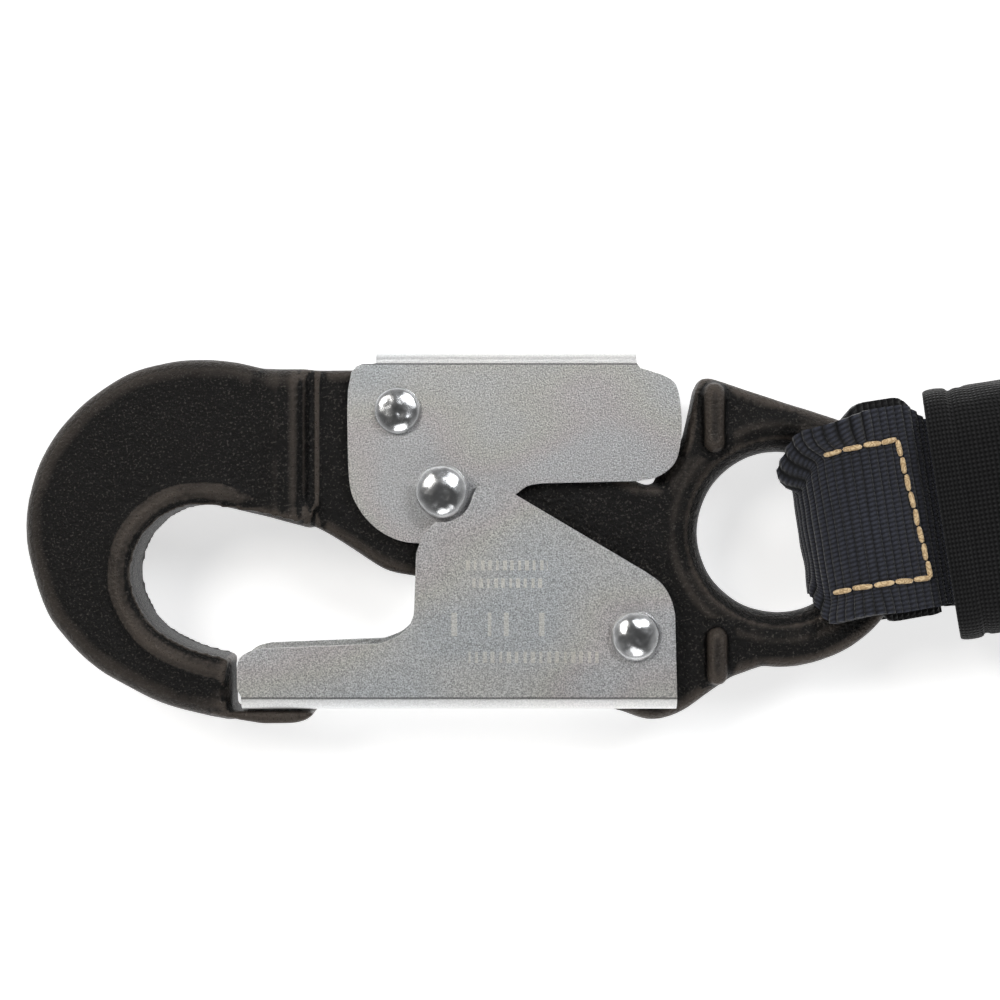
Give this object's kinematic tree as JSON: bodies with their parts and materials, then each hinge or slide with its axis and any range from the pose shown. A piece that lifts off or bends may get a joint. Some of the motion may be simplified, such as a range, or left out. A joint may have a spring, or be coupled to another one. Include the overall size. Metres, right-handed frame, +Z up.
{
  "type": "shock absorbing lanyard",
  "caption": "Fall-protection lanyard: tear-web absorber in a knit sleeve, webbing leg in a tied hank, and a double-action snap hook with lock lever and gate at each end.",
  "frame": {"origin": "bottom centre of the whole object's box, on the table it lies on", "axes": "+X runs from the harness hook along the absorber, +Y is across it away from the hank, +Z is up"},
  "size_m": [0.3962, 0.1722, 0.0235],
  "materials": {
    "forged_black": "satin black powder coat on forged steel",
    "zinc_plate": "bright zinc plated pressed steel",
    "polished_steel": "polished steel rivet head",
    "spring_steel": "oiled spring wire",
    "navy_webbing": "woven polyester webbing, dark navy",
    "black_webbing": "woven polyester webbing, black",
    "black_knit": "black stretch knit",
    "tear_webbing": "undyed tear webbing",
    "elastic_band": "black elastic band",
    "label_vinyl": "blank vinyl label"
  },
  "bodies": {
    "webbing": {"harness_loop": "navy_webbing", "harness_wear_pad": "black_webbing", "absorber_sleeve": "black_knit", "tear_web_pack": "tear_webbing", "backup_strap": "black_webbing", "blank_label": "label_vinyl", "leg_absorber_run": "navy_webbing", "leg_near_turn": "navy_webbing", "leg_hank": "navy_webbing", "hank_tie": "elastic_band", "leg_hank_run_out": "navy_webbing", "leg_far_turn": "navy_webbing", "leg_anchor_run": "navy_webbing", "anchor_splice_sleeve": "black_knit", "anchor_loop": "navy_webbing", "anchor_wear_pad": "black_webbing"},
    "harness_hook": {"harness_hook_body": "forged_black", "harness_lever_rivet": "polished_steel", "harness_gate_rivet": "polished_steel", "harness_lever_spring": "spring_steel", "harness_gate_spring": "spring_steel"},
    "harness_lever": {"harness_lock_lever": "zinc_plate", "harness_lock_pin": "polished_steel"},
    "harness_gate": {"harness_gate": "zinc_plate"},
    "anchor_hook": {"anchor_hook_body": "forged_black", "anchor_lever_rivet": "polished_steel", "anchor_gate_rivet": "polished_steel", "anchor_lever_spring": "spring_steel", "anchor_gate_spring": "spring_steel"},
    "anchor_lever": {"anchor_lock_lever": "zinc_plate", "anchor_lock_pin": "polished_steel"},
    "anchor_gate": {"anchor_gate": "zinc_plate"}
  },
  "joints": [
    {"name": "harness_hook_swing", "type": "hinge", "parent": "webbing", "child": "harness_hook", "pos_m": [-0.06858, 0.045, 0.0099], "axis": [0, 1, 0], "range_deg": [-25, 25]},
    {"name": "harness_lever_squeeze", "type": "hinge", "parent": "harness_hook", "child": "harness_lever", "pos_m": [-0.13896, 0.07338, 0.0099], "axis": [0, 0, -1], "range_deg": [0, 26], "stiffness_Nm_per_rad": 0.3, "springref_deg": -17.19},
    {"name": "harness_gate_swing", "type": "hinge", "parent": "harness_hook", "child": "harness_gate", "pos_m": [-0.10905, 0.03462, 0.0099], "axis": [0, 0, -1], "range_deg": [0, 20], "stiffness_Nm_per_rad": 0.2, "springref_deg": -17.19},
    {"name": "anchor_hook_swing", "type": "hinge", "parent": "webbing", "child": "anchor_hook", "pos_m": [0.06492, -0.045, 0.0099], "axis": [0, 1, 0], "range_deg": [-25, 25]},
    {"name": "anchor_lever_squeeze", "type": "hinge", "parent": "anchor_hook", "child": "anchor_lever", "pos_m": [0.13529, -0.07338, 0.0099], "axis": [0, 0, -1], "range_deg": [0, 26], "stiffness_Nm_per_rad": 0.3, "springref_deg": -17.19},
    {"name": "anchor_gate_swing", "type": "hinge", "parent": "anchor_hook", "child": "anchor_gate", "pos_m": [0.10539, -0.03462, 0.0099], "axis": [0, 0, -1], "range_deg": [0, 20], "stiffness_Nm_per_rad": 0.2, "springref_deg": -17.19}
  ],
  "couplings": [
    {"joint": "harness_gate_swing", "follows": "harness_lever_squeeze", "ratio": 0.7692},
    {"joint": "anchor_gate_swing", "follows": "anchor_lever_squeeze", "ratio": 0.7692}
  ]
}
